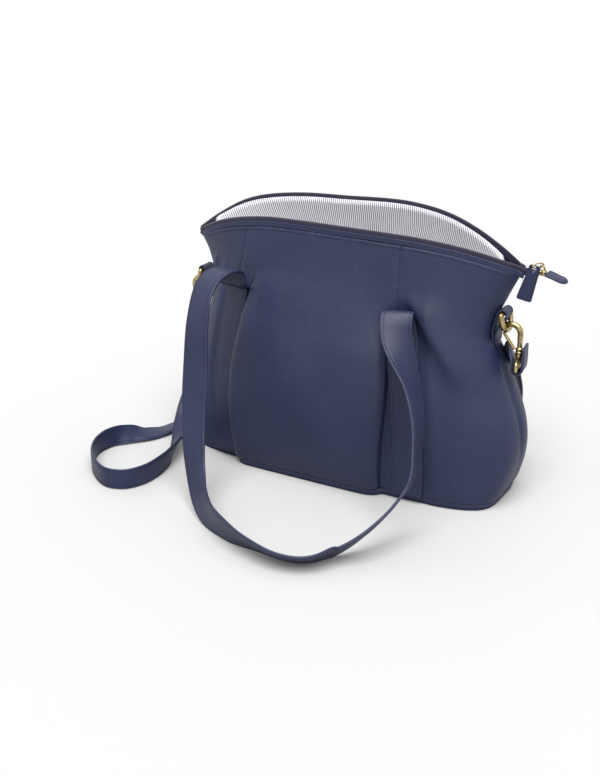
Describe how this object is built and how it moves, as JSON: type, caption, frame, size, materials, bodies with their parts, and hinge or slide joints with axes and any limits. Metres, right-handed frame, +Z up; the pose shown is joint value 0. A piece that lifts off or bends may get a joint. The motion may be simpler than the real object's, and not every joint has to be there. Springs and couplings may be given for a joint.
{
  "type": "leather shoulder bag",
  "caption": "Slouched leather shoulder bag with looped handles, a long clip-on strap, an open zip mouth and a striped lining.",
  "frame": {"origin": "on the floor under the middle of the bag's base panel", "axes": "+Z up, +X along the bag's width to the right seen from the front, front facing -Y"},
  "size_m": [0.5347, 0.5134, 0.3175],
  "materials": {
    "panel_leather": "soft fine-grained navy leather with a low sheen",
    "strap_leather": "navy leather with painted edges and edge stitching",
    "lining_cloth": "light grey cloth with fine dark stripes",
    "zip_cloth": "charcoal zip tape with moulded teeth",
    "aged_brass": "aged brass with a soft polish"
  },
  "bodies": {
    "root": {"front_panel_centre": "panel_leather", "front_panel_left": "panel_leather", "front_panel_right": "panel_leather", "back_panel_centre": "panel_leather", "back_panel_left": "panel_leather", "back_panel_right": "panel_leather", "base_panel": "panel_leather", "mouth_band_front": "panel_leather", "mouth_band_back": "panel_leather", "lining": "lining_cloth", "zip_tape_front": "zip_cloth", "zip_tape_back": "zip_cloth", "zip_tail": "zip_cloth", "handle_front": "strap_leather", "handle_back": "strap_leather", "long_strap": "strap_leather", "ring_tab_right": "strap_leather", "ring_tab_left": "strap_leather", "zip_pull": "strap_leather", "zip_end_tab": "strap_leather", "ring_right": "aged_brass", "ring_left": "aged_brass", "hook_right": "aged_brass", "hook_left": "aged_brass", "hook_gate_right": "aged_brass", "hook_gate_left": "aged_brass", "hook_eye_right": "aged_brass", "hook_eye_left": "aged_brass", "zip_slider": "aged_brass", "zip_link": "aged_brass"}
  },
  "joints": []
}
